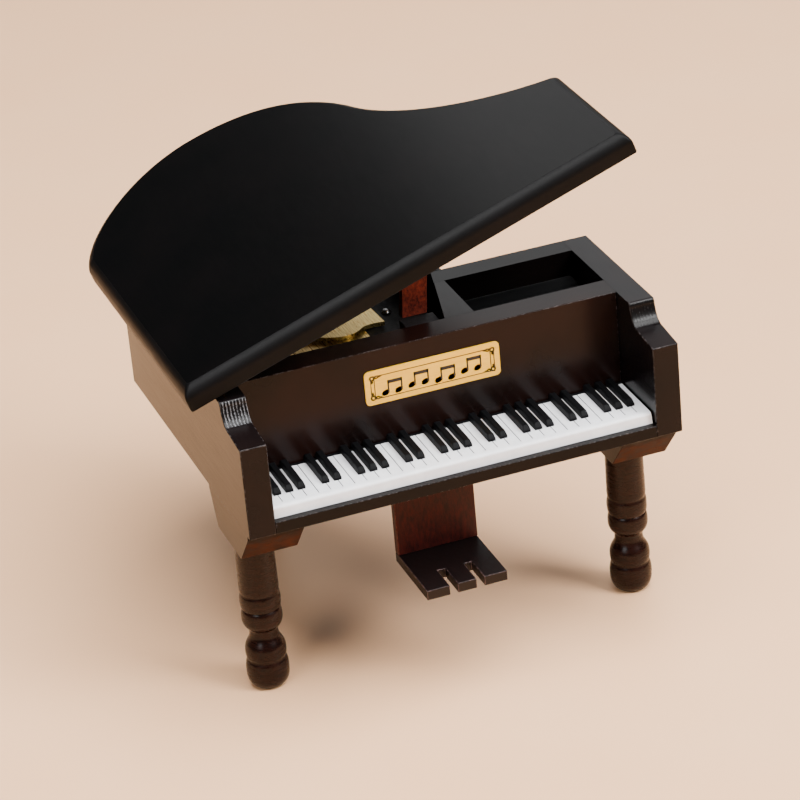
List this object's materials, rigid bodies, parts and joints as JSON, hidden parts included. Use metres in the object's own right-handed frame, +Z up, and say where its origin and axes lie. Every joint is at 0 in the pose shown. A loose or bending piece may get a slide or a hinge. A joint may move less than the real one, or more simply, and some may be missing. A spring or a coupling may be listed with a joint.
{
  "type": "miniature grand piano",
  "caption": "Miniature black wooden grand piano with a propped hinged lid, moulded keyboard, lined ring tray, turned legs, pedal board and key-wound music movement.",
  "frame": {"origin": "on the floor under the middle of the object's outline", "axes": "+Z up, +Y from the keyboard to the tail, +X from the bass side to the treble side"},
  "size_m": [0.16, 0.177, 0.1709],
  "materials": {
    "black_lacquer": "gloss black lacquer on wood",
    "lid_lacquer": "deep gloss black lacquer on wood",
    "leg_stain": "dark brown satin stain on turned wood",
    "brown_wood": "raw brown end grain",
    "pedal_stain": "dark red-brown stain",
    "prop_stain": "red-brown stain",
    "black_board": "matt black paint on plywood",
    "white_plastic": "white moulded plastic",
    "black_plastic": "black moulded plastic",
    "black_velvet": "black velvet over foam",
    "gold_sheet": "gold metallised sheet",
    "plaque_gold": "pale gold printed plate",
    "brass": "bright brass",
    "steel": "plain steel",
    "zinc_alloy": "die-cast zinc alloy"
  },
  "bodies": {
    "case": {"left_side": "black_lacquer", "right_side": "black_lacquer", "rear_board": "black_lacquer", "tail_rim": "black_lacquer", "bottom_board": "black_lacquer", "fallboard": "black_lacquer", "nameplate": "plaque_gold", "white_keys": "white_plastic", "black_keys": "black_plastic", "tray_partition": "black_lacquer", "tray_floor": "black_board", "ring_cushion": "black_velvet", "deck_board": "black_board", "soundboard": "gold_sheet", "gold_plate": "gold_sheet", "deck_screw": "steel", "prop_rest": "black_board", "front_leg_left": "leg_stain", "front_leg_right": "leg_stain", "rear_leg": "leg_stain", "front_leg_block_left": "brown_wood", "front_leg_block_right": "brown_wood", "rear_leg_block": "brown_wood", "pedal_post": "pedal_stain", "pedal_board": "pedal_stain", "movement_bedplate": "zinc_alloy", "movement_screw_1": "steel", "movement_screw_2": "steel", "movement_screw_3": "steel", "barrel_bridge": "zinc_alloy", "cylinder_bracket": "zinc_alloy", "governor_bracket": "zinc_alloy", "comb_block": "zinc_alloy", "comb": "steel", "comb_screw_1": "steel", "comb_screw_2": "steel", "lid_hinge_front_case_leaf": "brass", "lid_hinge_front_pin": "steel", "lid_hinge_rear_case_leaf": "brass", "lid_hinge_rear_pin": "steel"},
    "lid": {"lid": "lid_lacquer", "lid_hinge_front_lid_leaf": "brass", "lid_hinge_rear_lid_leaf": "brass", "prop_hinge_lid_leaf": "brass", "prop_hinge_pin": "steel"},
    "prop": {"prop": "prop_stain", "prop_hinge_prop_leaf": "brass"},
    "winding": {"winding_arbor": "steel", "winding_key": "brass"},
    "barrel": {"spring_barrel": "brass"},
    "cylinder": {"music_cylinder": "brass", "cylinder_pinion": "steel", "cylinder_gear": "brass"},
    "governor": {"governor_fan": "steel"}
  },
  "joints": [
    {"name": "lid_hinge", "type": "hinge", "parent": "case", "child": "lid", "pos_m": [-0.07107, -0.0146, 0.1122], "axis": [0, 1, 0], "range_deg": [0, 18.9]},
    {"name": "prop_hinge", "type": "hinge", "parent": "lid", "child": "prop", "pos_m": [0.00882, -0.0326, 0.13956], "axis": [0.9461, 0, 0.3239], "range_deg": [0, 90]},
    {"name": "key_turn", "type": "hinge", "parent": "case", "child": "winding", "pos_m": [-0.04297, 0.0034, 0.07], "axis": [0, 0, 1], "continuous": true},
    {"name": "barrel_turn", "type": "hinge", "parent": "case", "child": "barrel", "pos_m": [-0.04297, 0.0034, 0.08], "axis": [0, 0, 1], "continuous": true},
    {"name": "cylinder_turn", "type": "hinge", "parent": "case", "child": "cylinder", "pos_m": [-0.01497, 0.0034, 0.0885], "axis": [1, 0, 0], "continuous": true},
    {"name": "governor_turn", "type": "hinge", "parent": "case", "child": "governor", "pos_m": [-0.00297, 0.0099, 0.0911], "axis": [1, 0, 0], "continuous": true}
  ],
  "couplings": [
    {"joint": "prop_hinge", "follows": "lid_hinge", "ratio": 4.7614},
    {"joint": "cylinder_turn", "follows": "barrel_turn", "ratio": 4},
    {"joint": "governor_turn", "follows": "barrel_turn", "ratio": -16}
  ]
}
